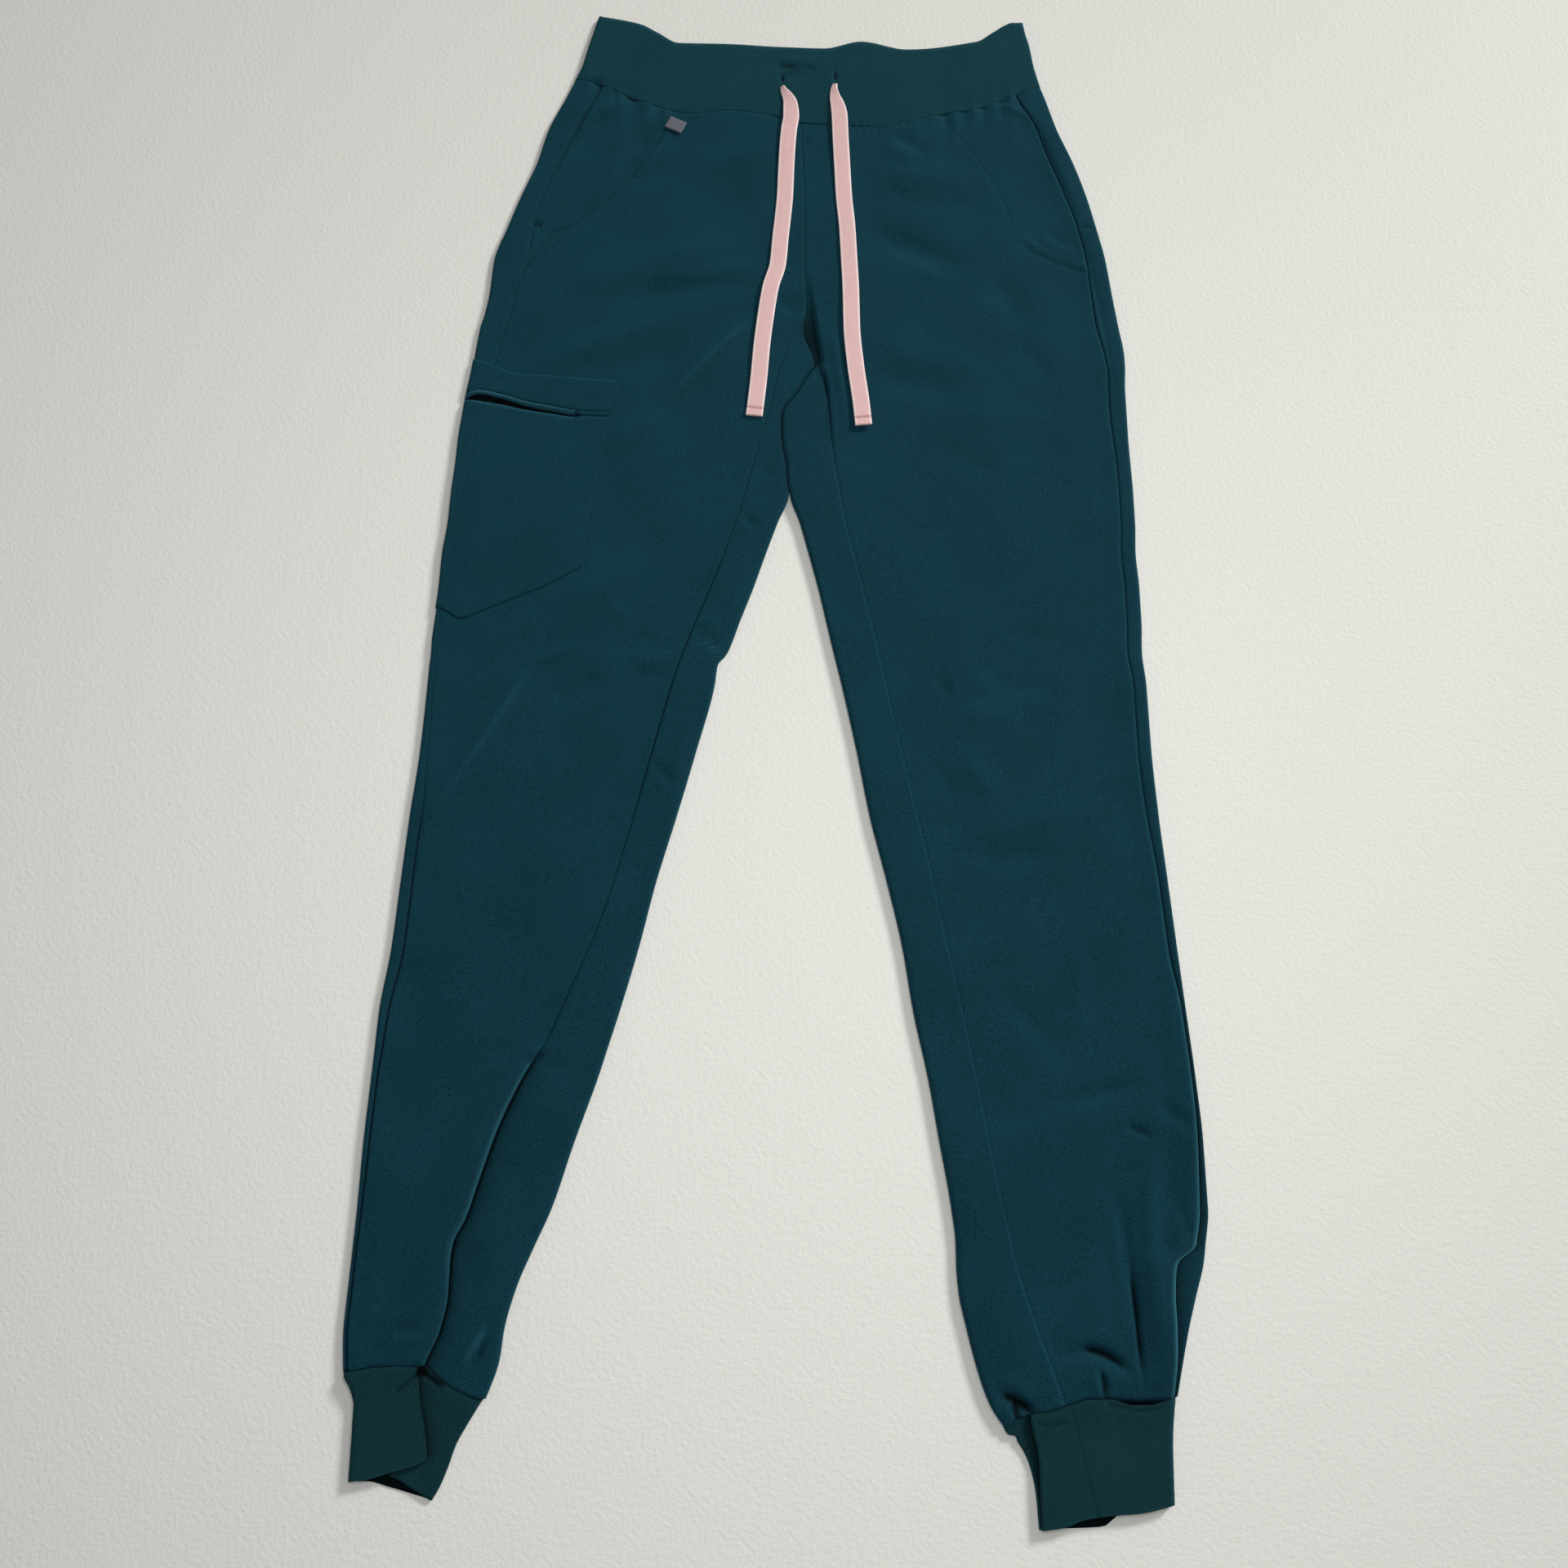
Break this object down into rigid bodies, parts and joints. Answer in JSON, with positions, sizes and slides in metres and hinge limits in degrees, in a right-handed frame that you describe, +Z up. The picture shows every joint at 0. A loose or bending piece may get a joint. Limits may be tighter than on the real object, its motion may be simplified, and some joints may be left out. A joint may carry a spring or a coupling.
{
  "type": "medical scrub trousers",
  "caption": "Jogger scrub trousers laid flat: rib-knit waistband and cuffs, woven legs, thigh pocket and a flat drawstring with free ends.",
  "frame": {"origin": "on the surface that the garment lies on, below the middle of its outline", "axes": "+Z up out of the surface, the side with the wearer's front; +Y from the ankles to the waist; +X to the wearer's left"},
  "size_m": [0.5099, 1.0254, 0.0104],
  "materials": {
    "twill": "matt stretch twill, dark teal",
    "rib_knit": "matt rib knit, dark teal",
    "tape": "matt woven tape, pale pink",
    "tab_weave": "satin woven tab, grey"
  },
  "bodies": {
    "root": {"waistband": "rib_knit", "front_right": "twill", "front_left": "twill", "back_right": "twill", "back_left": "twill", "cuff_right": "rib_knit", "cuff_left": "rib_knit", "cargo_pocket_yoke": "twill", "cargo_pocket_welt": "twill", "cargo_pocket_body": "twill", "label_tab": "tab_weave", "drawstring_right": "tape", "drawstring_left": "tape"}
  },
  "joints": []
}
